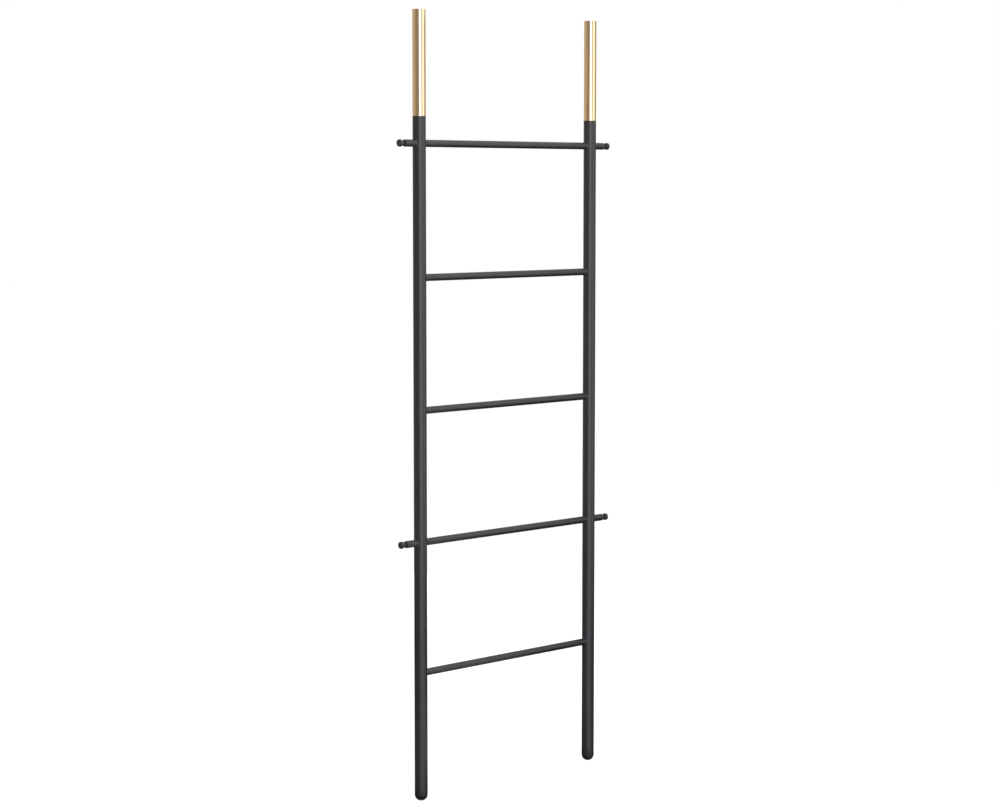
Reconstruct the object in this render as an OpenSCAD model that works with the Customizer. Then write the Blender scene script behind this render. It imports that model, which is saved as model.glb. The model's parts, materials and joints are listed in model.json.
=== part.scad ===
// Leaning towel ladder: two tube uprights with gold top sections, five rungs,
// and hanging pegs on the ends of two of the rungs. Millimetres.
// X runs along the rungs, +Y points to the wall behind, +Z runs up the uprights.
// The origin is on the floor, midway between the two feet.

/* [Frame] */
// Outer diameter of the uprights and of their gold top sections
upright_d = 30; // [26:0.5:38]
// Wall of the black upright tubes
upright_wall = 1.5; // [1:0.1:2.5]
// Clear width between the two uprights
clear_w = 500; // [350:5:700]
// Height of the lowest rung's axis above the floor
low_rung_h = 295; // [200:5:400]
// Height from one rung's axis to the next
rung_pitch = 300; // [220:5:340]
// Height from the top rung's axis to the end of the black tube
joint_rise = 60; // [40:1:120]
// Length of each gold top section
top_len = 236; // [120:1:400]
// Wall of the gold top tubes
top_wall = 1.5; // [1:0.1:2.5]

/* [Rungs] */
// Outer diameter of the rung tubes
rung_d = 16.5; // [14:0.5:19]
// Wall of the rung tubes
rung_wall = 1.2; // [0.8:0.1:1.8]
// How far the end of a plain rung stands inside the upright's bore
rung_seat = 1.5; // [0.5:0.5:5]

/* [Hanging pegs] */
// Length of rung that stands out past each upright
stub_len = 29; // [15:1:60]
// Thickness of the plug's flange, which closes the rung's end
flange_len = 3; // [2:0.5:6]
// Rounding of the flange's outer edge
flange_round = 1.6; // [0.4:0.2:2]
// Length of the plug's tail inside the rung
plug_tail = 16; // [10:1:30]
// Length of the neck between the rung's end and the knob
neck_len = 8; // [5:0.5:14]
// Diameter of the neck
neck_d = 8.5; // [7.5:0.5:11]
// Diameter of the threaded ends of the neck stud
stud_d = 6; // [4:0.5:7]
// Depth of the stud's inner end in the plug
stud_in = 12; // [6:1:20]
// Depth of the stud's outer end in the knob
stud_out = 5.5; // [4:0.5:6]
// Diameter of the knob
knob_d = 16.5; // [13:0.5:24]
// Thickness of the knob
knob_len = 8; // [7:0.5:16]
// Rounding of both edges of the knob
knob_round = 2; // [0.5:0.25:3]

/* [Feet] */
// Height of each rubber foot below its tube
foot_h = 30; // [20:1:60]
// Diameter of the flat spot under the foot's dome
foot_flat_d = 12; // [4:0.5:18]
// Length of the foot's plug inside the tube
foot_plug_len = 24; // [14:1:40]
// Depth of the grip ribs on the foot's plug
rib_depth = 0.8; // [0.4:0.1:1.5]
// Height of each grip rib
rib_h = 2; // [1:0.5:3]
// Number of grip ribs
rib_count = 4; // [2:1:4]

/* [Top hardware] */
// Length of the threaded insert in each tube end
insert_len = 20; // [12:1:26]
// Diameter of the stud that joins the gold tube to the black one
join_d = 10; // [6:0.5:14]
// Depth of that stud in each of its two inserts
join_reach = 18; // [8:1:24]
// Thickness of the cap that closes the gold tube
cap_t = 2.5; // [1:0.5:5]
// Length of the cap inside the gold tube
cap_len = 12; // [6:1:25]
// Wall of the cap's skirt
cap_skirt = 1.6; // [1:0.2:3]
// Chamfer around the top of the cap
cap_chamfer = 0.5; // [0.2:0.1:1]

/* [Fits] */
// Radial clearance of a plug pressed into a tube
press_gap = 0.05; // [0.02:0.01:0.1]
// Radial clearance of a rung in its cross hole
hole_gap = 0.1; // [0.02:0.01:0.2]
// Radial clearance of a stud in its thread
thread_gap = 0.05; // [0.02:0.01:0.1]
// Free depth past the stud's end in the knob
bore_spare = 0.5; // [0.2:0.1:1.5]

/* [Hidden] */

// The two sides as seen from the front
LEFT = -1;
RIGHT = 1;

// Rungs counted from the floor: the two peg rungs pass right through the uprights,
// and the upper one of them is the top rung
PLAIN_RUNGS = [1, 3, 4];
PEG_RUNGS = [2, 5];

// Radii
upright_r = upright_d / 2;
upright_ri = upright_r - upright_wall;
top_ri = upright_r - top_wall;
rung_r = rung_d / 2;
rung_ri = rung_r - rung_wall;
neck_r = neck_d / 2;
stud_r = stud_d / 2;
stud_bore_r = stud_r + thread_gap;
knob_r = knob_d / 2;
join_r = join_d / 2;

// Distance of each upright's axis from the middle of the ladder
upright_x = clear_w / 2 + upright_r;
// Half the length of a plain rung: its end clears the curved wall of the bore
bore_face = sqrt(pow(upright_ri, 2) - pow(rung_r, 2));
plain_rung_x = upright_x - bore_face + rung_seat;
// Outer face of the rung's end plug, where the neck begins
stub_x = upright_x + upright_r + stub_len;

// Heights
joint_z = rung_z(max(PEG_RUNGS)) + joint_rise;
top_z = joint_z + top_len;
dome_z = sqrt(pow(upright_r, 2) - pow(foot_flat_d / 2, 2));
rib_step = foot_plug_len / rib_count;

// Length by which a cutting solid runs past the face that it cuts
over = 1;

BLACK = [0.16, 0.16, 0.17];
GOLD = [0.86, 0.72, 0.48];
RUBBER = [0.1, 0.1, 0.1];
ZINC = [0.66, 0.67, 0.7];

$fn = 96;

function rung_z(number) = low_rung_h + (number - 1) * rung_pitch;

// Points of a quarter circle in a turned outline, from one angle to the next
function arc(centre, r, from, to) =
    [for (i = [0:8]) let (a = from + (to - from) * i / 8)
        [centre[0] + r * cos(a), centre[1] + r * sin(a)]];

// Puts a piece drawn for the right-hand side on the side that is asked for
module on_side(side) {
    if (side == RIGHT) children();
    else mirror([1, 0, 0]) children();
}

module rod_z(r, low, high) {
    translate([0, 0, low]) cylinder(r = r, h = high - low);
}

module tube_z(r_out, r_in, low, high) {
    difference() {
        rod_z(r_out, low, high);
        rod_z(r_in, low - over, high + over);
    }
}

module rod_x(r, from, to) {
    translate([from, 0, 0]) rotate([0, 90, 0]) cylinder(r = r, h = to - from);
}

// Solid turned about the X axis, from points of [radius, place along X]
module turned_x(points) {
    rotate([0, 90, 0]) rotate_extrude() polygon(points);
}

// Black tube with its cross holes: plain rungs pierce the inner wall alone
module upright(side) {
    color(BLACK) on_side(side) translate([upright_x, 0, 0]) difference() {
        tube_z(upright_r, upright_ri, foot_h, joint_z);
        for (number = PLAIN_RUNGS)
            translate([0, 0, rung_z(number)])
                rod_x(rung_r + hole_gap, -upright_r - over, 0);
        for (number = PEG_RUNGS)
            translate([0, 0, rung_z(number)])
                rod_x(rung_r + hole_gap, -upright_r - over, upright_r + over);
    }
}

// Rubber foot: a dome with a small flat, a straight part and a ribbed plug
module foot(side) {
    color(RUBBER) on_side(side) translate([upright_x, 0, 0]) {
        intersection() {
            translate([0, 0, dome_z]) sphere(r = upright_r);
            rod_z(upright_r + over, 0, dome_z);
        }
        rod_z(upright_r, dome_z, foot_h);
        rod_z(upright_ri - rib_depth, foot_h, foot_h + foot_plug_len);
        for (i = [1:rib_count])
            let (rib_top = foot_h + i * rib_step)
                rod_z(upright_ri - press_gap, rib_top - rib_h, rib_top);
    }
}

// Threaded insert pressed into the top end of the black tube
module upright_insert(side) {
    color(ZINC) on_side(side) translate([upright_x, 0, 0])
        tube_z(upright_ri - press_gap, join_r + thread_gap, joint_z - insert_len, joint_z);
}

// Threaded insert pressed into the bottom end of the gold tube
module top_insert(side) {
    color(ZINC) on_side(side) translate([upright_x, 0, 0])
        tube_z(top_ri - press_gap, join_r + thread_gap, joint_z, joint_z + insert_len);
}

// Stud that screws the gold top section onto the upright
module joining_stud(side) {
    color(ZINC) on_side(side) translate([upright_x, 0, 0])
        rod_z(join_r, joint_z - join_reach, joint_z + join_reach);
}

module top_tube(side) {
    color(GOLD) on_side(side) translate([upright_x, 0, 0])
        tube_z(upright_r, top_ri, joint_z, top_z);
}

// Cap pushed into the gold tube until it is flush with the rim
module top_cap(side) {
    cap_r = top_ri - press_gap;
    color(GOLD) on_side(side) translate([upright_x, 0, 0]) rotate_extrude()
        polygon([
            [0, top_z - cap_t],
            [cap_r - cap_skirt, top_z - cap_t],
            [cap_r - cap_skirt, top_z - cap_len],
            [cap_r, top_z - cap_len],
            [cap_r, top_z - cap_chamfer],
            [cap_r - cap_chamfer, top_z],
            [0, top_z],
        ]);
}

module rung_tube(number, half_len) {
    color(BLACK) translate([0, 0, rung_z(number)]) difference() {
        rod_x(rung_r, -half_len, half_len);
        rod_x(rung_ri, -half_len - over, half_len + over);
    }
}

// Rung whose ends are let into the inner walls of the uprights
module plain_rung(number) {
    rung_tube(number, plain_rung_x);
}

// Rung that passes through both uprights and carries a peg at each end
module peg_rung(number) {
    rung_tube(number, stub_x - flange_len);
}

// Places a peg's piece, drawn along X from the outer face of the rung plug
module at_peg(side, number) {
    on_side(side) translate([stub_x, 0, rung_z(number)]) children();
}

// Plug that closes the rung's end, threaded for the neck stud
module rung_plug(side, number) {
    tail_r = rung_ri - press_gap;
    color(BLACK) at_peg(side, number) turned_x(concat(
        [
            [stud_bore_r, -flange_len - plug_tail],
            [tail_r, -flange_len - plug_tail],
            [tail_r, -flange_len],
            [rung_r, -flange_len],
        ],
        arc([rung_r - flange_round, -flange_round], flange_round, 0, 90),
        [[stud_bore_r, 0]]
    ));
}

// Shouldered stud: its thick middle is the neck that a loop hangs on
module neck_stud(side, number) {
    color(BLACK) at_peg(side, number) turned_x([
        [0, -stud_in],
        [stud_r, -stud_in],
        [stud_r, 0],
        [neck_r, 0],
        [neck_r, neck_len],
        [stud_r, neck_len],
        [stud_r, neck_len + stud_out],
        [0, neck_len + stud_out],
    ]);
}

// Round knob with rounded edges, screwed onto the stud's outer end
module knob(side, number) {
    outer_face = neck_len + knob_len;
    bore_floor = neck_len + stud_out + bore_spare;
    color(BLACK) at_peg(side, number) turned_x(concat(
        [[stud_bore_r, neck_len]],
        arc([knob_r - knob_round, neck_len + knob_round], knob_round, -90, 0),
        arc([knob_r - knob_round, outer_face - knob_round], knob_round, 0, 90),
        [
            [0, outer_face],
            [0, bore_floor],
            [stud_bore_r, bore_floor],
        ]
    ));
}

upright(LEFT);  // left_upright
upright(RIGHT);  // right_upright
foot(LEFT);  // left_foot
foot(RIGHT);  // right_foot
upright_insert(LEFT);  // left_upright_insert
upright_insert(RIGHT);  // right_upright_insert
joining_stud(LEFT);  // left_joining_stud
joining_stud(RIGHT);  // right_joining_stud
top_insert(LEFT);  // left_top_insert
top_insert(RIGHT);  // right_top_insert
top_tube(LEFT);  // left_top_tube
top_tube(RIGHT);  // right_top_tube
top_cap(LEFT);  // left_top_cap
top_cap(RIGHT);  // right_top_cap
plain_rung(1);  // rung_1
peg_rung(2);  // rung_2
plain_rung(3);  // rung_3
plain_rung(4);  // rung_4
peg_rung(5);  // rung_5
rung_plug(LEFT, PEG_RUNGS[0]);  // lower_left_rung_plug
rung_plug(RIGHT, PEG_RUNGS[0]);  // lower_right_rung_plug
rung_plug(LEFT, PEG_RUNGS[1]);  // upper_left_rung_plug
rung_plug(RIGHT, PEG_RUNGS[1]);  // upper_right_rung_plug
neck_stud(LEFT, PEG_RUNGS[0]);  // lower_left_neck_stud
neck_stud(RIGHT, PEG_RUNGS[0]);  // lower_right_neck_stud
neck_stud(LEFT, PEG_RUNGS[1]);  // upper_left_neck_stud
neck_stud(RIGHT, PEG_RUNGS[1]);  // upper_right_neck_stud
knob(LEFT, PEG_RUNGS[0]);  // lower_left_knob
knob(RIGHT, PEG_RUNGS[0]);  // lower_right_knob
knob(LEFT, PEG_RUNGS[1]);  // upper_left_knob
knob(RIGHT, PEG_RUNGS[1]);  // upper_right_knob
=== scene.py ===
"""Looks of the towel ladder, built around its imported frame.

Metres, in the frame's own axes: X along the rungs, +Y towards the wall, +Z up.
"""

import json
import math

import bmesh
import bpy
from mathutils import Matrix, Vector

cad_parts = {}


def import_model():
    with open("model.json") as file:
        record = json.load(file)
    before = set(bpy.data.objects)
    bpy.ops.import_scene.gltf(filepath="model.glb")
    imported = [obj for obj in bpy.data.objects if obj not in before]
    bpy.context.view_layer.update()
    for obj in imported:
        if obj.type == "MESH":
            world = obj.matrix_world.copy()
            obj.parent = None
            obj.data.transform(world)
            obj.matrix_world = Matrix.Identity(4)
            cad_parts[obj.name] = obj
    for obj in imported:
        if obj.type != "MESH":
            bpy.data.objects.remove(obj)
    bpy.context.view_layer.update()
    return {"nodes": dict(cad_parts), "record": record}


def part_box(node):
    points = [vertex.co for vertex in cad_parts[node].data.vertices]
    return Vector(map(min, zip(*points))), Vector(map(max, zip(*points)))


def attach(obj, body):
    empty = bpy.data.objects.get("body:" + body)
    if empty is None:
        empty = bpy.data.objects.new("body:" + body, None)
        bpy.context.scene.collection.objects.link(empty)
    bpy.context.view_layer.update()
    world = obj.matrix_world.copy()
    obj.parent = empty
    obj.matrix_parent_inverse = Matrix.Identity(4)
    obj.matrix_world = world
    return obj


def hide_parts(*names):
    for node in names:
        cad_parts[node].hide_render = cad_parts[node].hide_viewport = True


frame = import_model()

MM = 0.001
BODY = "root"
SIDES = ("left", "right")
PLAIN_RUNGS = ("rung_1", "rung_3", "rung_4")
PEG_RUNGS = ("rung_2", "rung_5")

# Camera, fitted to the edges of the uprights and rungs in the photograph. Its lens and sensor
# are in millimetres and its shift is a share of the picture's width.
CAMERA_AT = (-3.4043, -3.7755, 1.4015)
CAMERA_RIGHT_OF_Y = math.radians(41.846)
CAMERA_BELOW_HORIZON = math.radians(4.902)
CAMERA_LENS = 78.77
CAMERA_SENSOR = 36
CAMERA_SHIFT_Y = -0.032
CAMERA_REACH = 60

# Tube walls and fits, as in the construction
UPRIGHT_WALL = 1.5 * MM
TOP_WALL = 1.5 * MM
RUNG_WALL = 1.2 * MM
HOLE_GAP = 0.1 * MM

# Small forms that only show from close by
TUBE_RIM = 0.35 * MM
RUNG_RIM = 0.25 * MM
SEAM_LEG = 0.9 * MM
SEAM_ROOT = 0.3 * MM

# Fineness of the meshes
TURN_STEPS = 128
RIM_STEPS = 4
SEAM_STEPS = 6
SHARP_ANGLE = math.radians(32)
WELD = 0.001 * MM

# A face of a cut tube belongs to its round walls if the cosine between the face's normal and
# the radius, outward or inward, is at least this
ROUND_WALL = 0.998


def placed(name, data):
    """New object, linked to the scene."""
    thing = bpy.data.objects.new(name, data)
    bpy.context.scene.collection.objects.link(thing)
    return thing


def camera():
    data = bpy.data.cameras.new("photo_camera")
    data.lens = CAMERA_LENS
    data.sensor_width = CAMERA_SENSOR
    data.shift_y = CAMERA_SHIFT_Y
    data.clip_end = CAMERA_REACH
    eye = placed("photo_camera", data)
    eye.location = CAMERA_AT
    eye.rotation_euler = (math.pi / 2 - CAMERA_BELOW_HORIZON, 0, -CAMERA_RIGHT_OF_Y)
    bpy.context.scene.camera = eye


# Materials

# Places of a Mix node's sockets for colours, whose names repeat
MIX_SHARE = 0
MIX_FIRST = 6
MIX_SECOND = 7
MIX_RESULT = 2


class Nodes:
    """Short calls for building the node tree of a material or a world."""

    def __init__(self, owner):
        owner.use_nodes = True
        self.tree = owner.node_tree
        self.tree.nodes.clear()

    def add(self, kind, inputs=None, **settings):
        """Adds a node. An input that is a socket is linked, any other is set as a value."""
        node = self.tree.nodes.new(kind)
        for name, value in settings.items():
            setattr(node, name, value)
        for name, value in (inputs or {}).items():
            if isinstance(value, bpy.types.NodeSocket):
                self.tree.links.new(value, node.inputs[name])
            else:
                node.inputs[name].default_value = value
        return node

    def place(self):
        """Where a point lies in its own object."""
        return self.add("ShaderNodeTexCoord").outputs["Object"]

    def stretched(self, place, scale):
        node = self.add("ShaderNodeMapping", {"Vector": place, "Scale": scale})
        return node.outputs["Vector"]

    def noise(self, place, scale, detail):
        node = self.add("ShaderNodeTexNoise", {"Vector": place, "Scale": scale, "Detail": detail})
        return node.outputs["Fac"]

    def between(self, share, low, high):
        """Maps a share from 0 to 1 onto a range of numbers."""
        node = self.add("ShaderNodeMapRange", {"Value": share, "To Min": low, "To Max": high})
        return node.outputs["Result"]

    def blend(self, share, first, second):
        """Colour between two colours."""
        inputs = {MIX_SHARE: share, MIX_FIRST: (*first, 1), MIX_SECOND: (*second, 1)}
        return self.add("ShaderNodeMix", inputs, data_type="RGBA").outputs[MIX_RESULT]

    def bump(self, height, depth, strength, below=None):
        inputs = {"Height": height, "Distance": depth, "Strength": strength}
        if below:
            inputs["Normal"] = below
        return self.add("ShaderNodeBump", inputs).outputs["Normal"]

    def larger(self, first, second):
        node = self.add("ShaderNodeMath", {0: first, 1: second}, operation="MAXIMUM")
        return node.outputs["Value"]

    def matt(self, colour):
        return self.add("ShaderNodeBsdfDiffuse", {"Color": (*colour, 1)}).outputs["BSDF"]

    def glow(self, tint, strength):
        node = self.add("ShaderNodeEmission", {"Color": (*tint, 1), "Strength": strength})
        return node.outputs["Emission"]

    def mixed(self, share, first, second):
        """Shader between two shaders."""
        return self.add("ShaderNodeMixShader", {0: share, 1: first, 2: second}).outputs["Shader"]

    def finish(self, shader):
        self.add("ShaderNodeOutputMaterial", {"Surface": shader})

    def principled(self, inputs):
        """Ends the tree in a Principled shader."""
        self.finish(self.add("ShaderNodeBsdfPrincipled", inputs).outputs["BSDF"])


def new_material(name):
    material = bpy.data.materials.new(name)
    return material, Nodes(material)


def black_coat():
    """Satin powder coat: a fine orange peel over a slightly uneven dark grey."""
    material, n = new_material("black_coat")
    place = n.place()
    peel = n.noise(place, scale=620, detail=2.5)
    grain = n.noise(place, scale=2600, detail=2)
    cloud = n.noise(place, scale=34, detail=3)
    normal = n.bump(peel, depth=0.014 * MM, strength=0.5)
    normal = n.bump(grain, depth=0.004 * MM, strength=0.4, below=normal)
    n.principled({
        "Base Color": n.blend(cloud, (0.0300, 0.0309, 0.0327), (0.0340, 0.0349, 0.0367)),
        "Roughness": n.between(cloud, 0.28, 0.33),
        "Specular IOR Level": 0.42,
        "Normal": normal,
    })
    return material


def gold_metal():
    """Polished pale gold with faint polishing marks along the tube."""
    material, n = new_material("gold_metal")
    place = n.place()
    marks = n.noise(n.stretched(place, (1, 1, 0.03)), scale=2400, detail=3)
    cloud = n.noise(place, scale=22, detail=3)
    n.principled({
        "Base Color": n.blend(cloud, (0.85, 0.67, 0.42), (0.87, 0.70, 0.45)),
        "Metallic": 1.0,
        "Roughness": n.between(marks, 0.055, 0.085),
        "Normal": n.bump(marks, depth=0.0008 * MM, strength=0.3),
    })
    return material


def foot_rubber():
    """Matt moulded rubber with a fine spark-eroded grain."""
    material, n = new_material("foot_rubber")
    place = n.place()
    grain = n.noise(place, scale=1500, detail=3)
    cloud = n.noise(place, scale=60, detail=3)
    n.principled({
        "Base Color": n.blend(cloud, (0.021, 0.021, 0.021), (0.028, 0.0275, 0.027)),
        "Roughness": n.between(cloud, 0.46, 0.56),
        "Specular IOR Level": 0.4,
        "Normal": n.bump(grain, depth=0.02 * MM, strength=0.6),
    })
    return material


def plated_steel():
    """Turned and zinc-plated steel, inside the tubes."""
    material, n = new_material("plated_steel")
    place = n.place()
    rings = n.noise(n.stretched(place, (0.05, 0.05, 1)), scale=3000, detail=3)
    cloud = n.noise(place, scale=90, detail=3)
    n.principled({
        "Base Color": n.blend(cloud, (0.36, 0.37, 0.40), (0.44, 0.45, 0.47)),
        "Metallic": 1.0,
        "Roughness": n.between(rings, 0.26, 0.4),
        "Normal": n.bump(rings, depth=0.006 * MM, strength=0.5),
    })
    return material


MATERIALS = {
    "black_coat": black_coat(),
    "gold_metal": gold_metal(),
    "foot_rubber": foot_rubber(),
    "plated_steel": plated_steel(),
}


def dress_nodes():
    """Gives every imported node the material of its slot."""
    for part in frame["record"]["subparts"]:
        mesh = frame["nodes"][part["node"]].data
        mesh.materials.clear()
        mesh.materials.append(MATERIALS[part["material_slot"]])


# Meshes


def finished_mesh(name, bm):
    """Mesh of all that bm holds, with its faces outward."""
    bmesh.ops.recalc_face_normals(bm, faces=bm.faces)
    mesh = bpy.data.meshes.new(name)
    bm.to_mesh(mesh)
    bm.free()
    return mesh


def new_piece(name, bm, slot):
    """Piece of the object, made of all that bm holds."""
    mesh = finished_mesh(name, bm)
    mesh.materials.append(MATERIALS[slot])
    piece = placed(name, mesh)
    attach(piece, BODY)
    return piece


def smooth(mesh):
    for face in mesh.polygons:
        face.use_smooth = True
    mesh.set_sharp_from_angle(angle=SHARP_ANGLE)


def axis_x(node):
    low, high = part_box(node)
    return (low.x + high.x) / 2


def radius(node):
    low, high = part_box(node)
    return (high.y - low.y) / 2


def height(node):
    low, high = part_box(node)
    return (low.z + high.z) / 2


def turns(offset=0):
    """Angles of a full turn. The offset, in steps, is where the first one lies."""
    return [2 * math.pi * (step + offset) / TURN_STEPS for step in range(TURN_STEPS)]


def skin(bm, row, after):
    """Joins two closed loops, with as many points each, by a band of faces."""
    for i in range(len(row)):
        j = (i + 1) % len(row)
        bm.faces.new((row[i], row[j], after[j], after[i]))


def ring_of_loops(bm, loops):
    """Skins a closed row of closed loops of points."""
    rows = [[bm.verts.new(point) for point in loop] for loop in loops]
    for row, after in zip(rows, rows[1:] + rows[:1]):
        skin(bm, row, after)


def tube_wall(r_out, r_in, start, end, rim):
    """Closed loop of (radius, place along the axis) round a tube's wall, rims rounded."""
    corners = (
        (r_out - rim, end - rim, 0),
        (r_in + rim, end - rim, 90),
        (r_in + rim, start + rim, 180),
        (r_out - rim, start + rim, 270),
    )
    loop = []
    for r, along, first in corners:
        for step in range(RIM_STEPS + 1):
            turn = math.radians(first + 90 * step / RIM_STEPS)
            loop.append((r + rim * math.cos(turn), along + rim * math.sin(turn)))
    return loop


def turned(bm, profile, centre, axis):
    """Turns a closed profile about the X or Z axis through centre."""
    loops = []
    for turn in turns():
        c, s = math.cos(turn), math.sin(turn)
        if axis == "Z":
            loop = [centre + Vector((r * c, r * s, along)) for r, along in profile]
        else:
            loop = [centre + Vector((along, r * c, r * s)) for r, along in profile]
        loops.append(loop)
    ring_of_loops(bm, loops)


def add_rod(bm, r, start, end):
    """Adds a closed rod along X from one point to another, to cut a hole with.

    Its edges lie half a step round, so that none of them meets an edge of the tube it cuts.
    """
    rings = []
    for x in (start.x, end.x):
        ring = []
        for turn in turns(offset=0.5):
            y = start.y + r * math.cos(turn)
            z = start.z + r * math.sin(turn)
            ring.append(bm.verts.new((x, y, z)))
        rings.append(ring)
        bm.faces.new(ring)
    skin(bm, *rings)


def cut(piece, bm):
    """Cuts all the closed forms of bm out of the piece's mesh at once."""
    cutter = placed("cutter", finished_mesh("cutter", bm))
    holes = piece.modifiers.new("holes", "BOOLEAN")
    holes.operation = "DIFFERENCE"
    holes.solver = "EXACT"
    holes.object = cutter
    shape = piece.evaluated_get(bpy.context.evaluated_depsgraph_get())
    mesh = bpy.data.meshes.new_from_object(shape)
    piece.modifiers.clear()
    piece.data = mesh
    bpy.data.objects.remove(cutter)
    welded = bmesh.new()
    welded.from_mesh(mesh)
    bmesh.ops.remove_doubles(welded, verts=welded.verts, dist=WELD)
    welded.to_mesh(mesh)
    welded.free()


def round_normals(mesh, centre):
    """Makes the walls of a cut tube shade as true rounds about the Z axis through centre."""
    smooth(mesh)
    normals = [corner.vector.copy() for corner in mesh.corner_normals]
    for face in mesh.polygons:
        out = Vector((face.center.x - centre.x, face.center.y - centre.y, 0)).normalized()
        along = face.normal.dot(out)
        if abs(along) < ROUND_WALL:
            continue
        for loop in face.loop_indices:
            point = mesh.vertices[mesh.loops[loop].vertex_index].co
            spoke = Vector((point.x - centre.x, point.y - centre.y, 0)).normalized()
            normals[loop] = spoke * math.copysign(1, along)
    mesh.normals_split_custom_set(normals)


def standing_tube(node, name, wall, slot):
    """Tube with rounded rims, in the place of an upright or top tube."""
    low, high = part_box(node)
    r_out = radius(node)
    centre = Vector((axis_x(node), 0, 0))
    bm = bmesh.new()
    turned(bm, tube_wall(r_out, r_out - wall, low.z, high.z, TUBE_RIM), centre, "Z")
    return new_piece(name, bm, slot)


def upright(side):
    """Black tube with the rungs' cross holes."""
    node = f"{side}_upright"
    piece = standing_tube(node, f"{side}_upright_tube", UPRIGHT_WALL, "black_coat")
    centre = Vector((axis_x(node), 0, 0))
    reach = 2 * radius(node) * math.copysign(1, -centre.x)
    rods = bmesh.new()
    for rung_node in PLAIN_RUNGS + PEG_RUNGS:
        start = Vector((centre.x + reach, 0, height(rung_node)))
        outer = 0 if rung_node in PLAIN_RUNGS else -reach
        end = Vector((centre.x + outer, 0, height(rung_node)))
        add_rod(rods, radius(rung_node) + HOLE_GAP, start, end)
    cut(piece, rods)
    round_normals(piece.data, centre)
    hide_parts(node)


def top_tube(side):
    """Gold tube on top of an upright."""
    node = f"{side}_top_tube"
    piece = standing_tube(node, f"{side}_gold_tube", TOP_WALL, "gold_metal")
    smooth(piece.data)
    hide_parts(node)


def rung(node):
    """Black tube of a rung, with rounded rims."""
    low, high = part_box(node)
    centre = Vector((0, 0, height(node)))
    bm = bmesh.new()
    wall = tube_wall(radius(node), radius(node) - RUNG_WALL, low.x, high.x, RUNG_RIM)
    turned(bm, wall, centre, "X")
    piece = new_piece(f"{node}_tube", bm, "black_coat")
    smooth(piece.data)
    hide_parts(node)


def seam_loop(upright_r, rung_r, turn, centre, outward):
    """Section of a seam, in the corner between a rung and an upright.

    outward is the way the rung leaves the upright, 1 or -1 along X.
    """
    def on_upright(distance):
        y = distance * math.sin(turn)
        reach = math.sqrt(upright_r ** 2 - y ** 2)
        return Vector((centre.x + outward * reach, y, centre.z + distance * math.cos(turn)))

    corner = on_upright(rung_r)
    rung_side = corner + Vector((outward * SEAM_LEG, 0, 0))
    upright_side = on_upright(rung_r + SEAM_LEG)
    arc = []
    for step in range(SEAM_STEPS + 1):
        t = step / SEAM_STEPS
        arc.append(rung_side.lerp(corner, t).lerp(corner.lerp(upright_side, t), t))
    to_axis = Vector((0, -math.sin(turn), -math.cos(turn)))
    buried = to_axis * SEAM_ROOT - Vector((outward * SEAM_ROOT, 0, 0))
    return arc + [upright_side + buried, corner + buried, rung_side + buried]


def seams(side):
    """The coat's small fillet around each place where a rung enters an upright."""
    upright_node = f"{side}_upright"
    x = axis_x(upright_node)
    inward = math.copysign(1, -x)
    for node in PLAIN_RUNGS + PEG_RUNGS:
        centre = Vector((x, 0, height(node)))
        ways = {"inner": inward}
        if node in PEG_RUNGS:
            ways["outer"] = -inward
        for face, outward in ways.items():
            sizes = (radius(upright_node), radius(node))
            loops = [seam_loop(*sizes, turn, centre, outward) for turn in turns()]
            bm = bmesh.new()
            ring_of_loops(bm, loops)
            piece = new_piece(f"{side}_{node}_{face}_seam", bm, "black_coat")
            smooth(piece.data)


def build():
    dress_nodes()
    for side in SIDES:
        upright(side)
        top_tube(side)
        seams(side)
    for node in PLAIN_RUNGS + PEG_RUNGS:
        rung(node)


# Studio

WORLD_SEEN = 1.0
WORLD_SOFT_LIGHT = 0.27
FLOOR_SIZE = 24
FLOOR_SEEN = (0.30, 0.30, 0.30)
FLOOR_BOUNCE = (0.05, 0.05, 0.05)
FLOOR_GLOW = 0.925

NEUTRAL = (1, 1, 1)
COOL = (0.95, 0.98, 1.05)
WARM = (1.0, 0.87, 0.76)
OLIVE = (1.0, 0.99, 0.92)
CREAM = (1, 0.98, 0.92)

# Panels that the surfaces mirror: name, from and to in degrees to the right of the camera,
# lower and upper edge, brightness and tint
PANEL_RADIUS = 2.9
PANEL_STEPS = 12
PANELS = (
    ("far_left_panel", -164, -104, 0, 6, 0.60, WARM),
    ("left_panel", -104, -78, 0, 6, 0.55, WARM),
    ("left_shade_panel", -78, -58, 0, 6, 0.45, WARM),
    ("dark_panel", -58, 0, 0, 6, 0.31, WARM),
    ("key_panel", 0, 33, 0, 6, 2.75, COOL),
    ("gap_panel", 33, 56, 0, 6, 0.64, NEUTRAL),
    ("side_panel", 56, 96, 0, 6, 1.5, NEUTRAL),
    ("lower_side_panel", 96, 158, 0, 1.2, 0.34, WARM),
    ("lower_back_panel", 158, 186, 0, 1.2, 0.06, NEUTRAL),
    ("back_panel", 96, 186, 1.2, 2.3, 0.5, WARM),
    ("upper_back_panel", 96, 186, 2.3, 6, 0.85, OLIVE),
    ("back_strip", -174, -164, 0, 6, 2.5, NEUTRAL),
)

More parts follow.
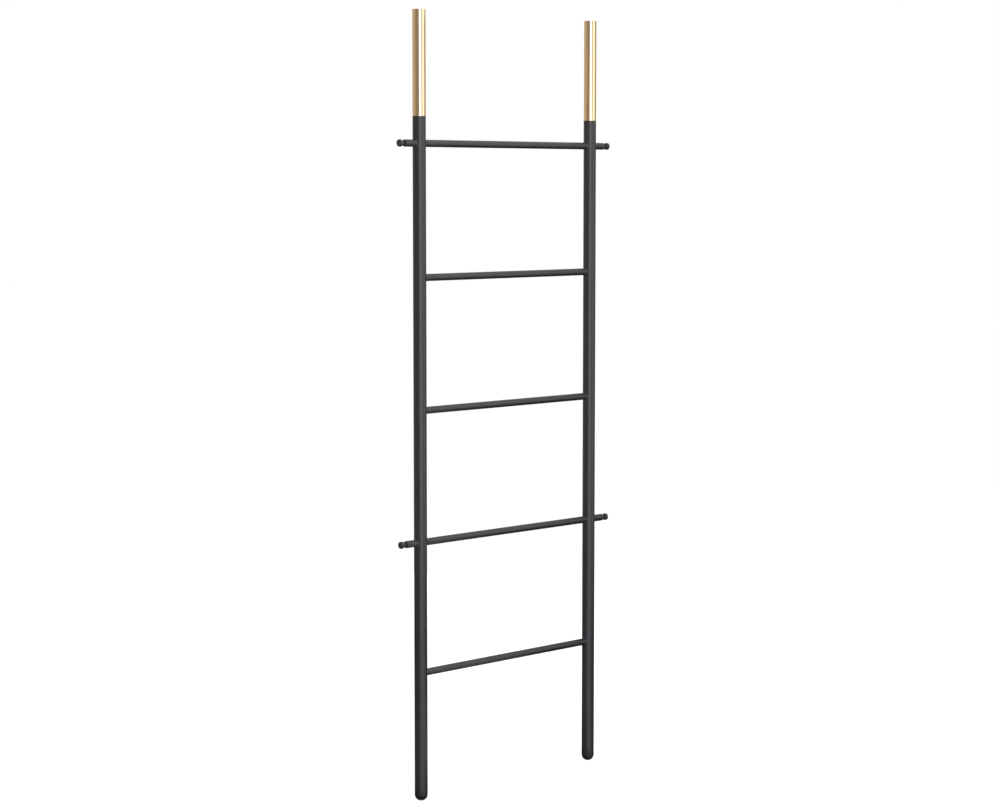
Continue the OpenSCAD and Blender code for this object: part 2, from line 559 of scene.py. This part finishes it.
# Cards on the floor: name, the upright it spreads from or None for the middle, from and to in
# degrees to the right of the camera, nearest and farthest reach, height above the floor,
# brightness and tint
GROUND_STEPS = 24
GROUND_CARDS = (
    ("ground_card", None, -180, 180, 0.001, 2.9, 0.004, 0.01, NEUTRAL),
    ("left_ground_shade", "left", -150, -13, 0.1, 1.5, 0.006, 0.24, WARM),
    ("right_ground_shade", "right", -122, -13, 0.1, 0.35, 0.006, 0.24, WARM),
    ("left_ground_key", "left", -13, 48, 0.05, 2.6, 0.008, 1.0, COOL),
    ("right_ground_key", "right", -13, 48, 0.05, 2.6, 0.008, 1.0, COOL),
    ("left_ground_side", "left", 48, 88, 0.05, 0.35, 0.006, 0.35, NEUTRAL),
    ("right_ground_side", "right", 48, 88, 0.05, 0.35, 0.006, 0.35, NEUTRAL),
    ("left_ground_strip", "left", -174, -164, 0.05, 2.6, 0.008, 1.0, NEUTRAL),
    ("right_ground_strip", "right", -174, -164, 0.05, 2.6, 0.008, 1.0, NEUTRAL),
)

# Lamps: name, degrees to the right of the camera, distance from the middle, height, width and
# height of the face, watts and tint. The aimed ones point at AIM, and the top one down.
AIM = Vector((0, 0, 0.95))
AIMED_LAMPS = (
    ("key_lamp", 14, 2.7, 1.1, 1.5, 2.2, 45, COOL),
    ("side_lamp", 76, 2.7, 1.1, 1.6, 2.0, 7, NEUTRAL),
    ("back_lamp", -162, 2.7, 1.1, 1.0, 2.2, 50, NEUTRAL),
)
TOP_LAMP = ("top_lamp", 60, 0.9, 3.3, 2.4, 2.4, 65, CREAM)


def seen_directly(n):
    """1 where a camera, glossy or transmission ray looks, 0 for light that is only soft fill."""
    rays = n.add("ShaderNodeLightPath").outputs
    camera_or_glossy = n.larger(rays["Is Camera Ray"], rays["Is Glossy Ray"])
    return n.larger(camera_or_glossy, rays["Is Transmission Ray"])


def world():
    """White where it is seen, and a soft light from all round."""
    room = bpy.data.worlds.new("studio")
    n = Nodes(room)
    soft, white = [
        n.add("ShaderNodeBackground", {"Color": (*NEUTRAL, 1), "Strength": strength}).outputs[0]
        for strength in (WORLD_SOFT_LIGHT, WORLD_SEEN)
    ]
    n.add("ShaderNodeOutputWorld", {"Surface": n.mixed(seen_directly(n), soft, white)})
    bpy.context.scene.world = room


def studio_object(name, points, faces, material):
    """Object of the studio, made of flat faces."""
    mesh = bpy.data.meshes.new(name)
    mesh.from_pydata(points, [], faces)
    mesh.materials.append(material)
    return placed(name, mesh)


def floor():
    """Plain pale floor, white to the camera but for the object's soft shadow."""
    material, n = new_material("pale_floor")
    lit = n.add("ShaderNodeAddShader", {0: n.matt(FLOOR_SEEN), 1: n.glow(NEUTRAL, FLOOR_GLOW)})
    n.finish(n.mixed(seen_directly(n), n.matt(FLOOR_BOUNCE), lit.outputs["Shader"]))
    half = FLOOR_SIZE / 2
    corners = [(-half, -half, 0), (half, -half, 0), (half, half, 0), (-half, half, 0)]
    plane = studio_object("floor", corners, [(0, 1, 2, 3)], material)


def way(degrees_right):
    """Level unit vector from the middle to the camera, turned to the camera's right."""
    back = math.atan2(CAMERA_AT[1], CAMERA_AT[0])
    turn = back + math.radians(degrees_right)
    return Vector((math.cos(turn), math.sin(turn), 0))


def card(name, points, faces, strength, tint):
    """Card that only mirror-like surfaces see."""
    material, n = new_material(name)
    n.finish(n.glow(tint, strength))
    piece = studio_object(name, points, faces, material)
    piece.visible_camera = False
    piece.visible_diffuse = False
    piece.visible_shadow = False


def panel(name, start, end, low, high, strength, tint):
    """Upright card, curved round the object."""
    points, faces = [], []
    for step in range(PANEL_STEPS + 1):
        spoke = way(start + (end - start) * step / PANEL_STEPS) * PANEL_RADIUS
        points += [spoke + Vector((0, 0, low)), spoke + Vector((0, 0, high))]
    for i in range(0, 2 * PANEL_STEPS, 2):
        faces.append((i, i + 2, i + 3, i + 1))
    card(name, points, faces, strength, tint)


def ground_card(name, side, start, end, near, far, up, strength, tint):
    """Card that lies on the floor as a sector of a ring."""
    x = axis_x(f"{side}_upright") if side else 0
    middle = Vector((x, 0, up))
    points, faces = [], []
    for step in range(GROUND_STEPS + 1):
        spoke = way(start + (end - start) * step / GROUND_STEPS)
        points += [middle + spoke * near, middle + spoke * far]
    for i in range(0, 2 * GROUND_STEPS, 2):
        faces.append((i, i + 1, i + 3, i + 2))
    card(name, points, faces, strength, tint)


def lamp(name, degrees_right, distance, up, width, tall, watts, tint):
    """Area lamp that points down. No reflection shows it."""
    data = bpy.data.lights.new(name, "AREA")
    data.shape = "RECTANGLE"
    data.size = width
    data.size_y = tall
    data.energy = watts
    data.color = tint
    source = placed(name, data)
    source.location = way(degrees_right) * distance + Vector((0, 0, up))
    source.visible_glossy = False
    return source


def studio():
    world()
    floor()
    for values in PANELS:
        panel(*values)
    for values in GROUND_CARDS:
        ground_card(*values)
    for values in AIMED_LAMPS:
        source = lamp(*values)
        source.rotation_euler = (AIM - source.location).to_track_quat("-Z", "Y").to_euler()
    lamp(*TOP_LAMP)


camera()
build()
studio()
bpy.context.scene.view_settings.view_transform = "Standard"
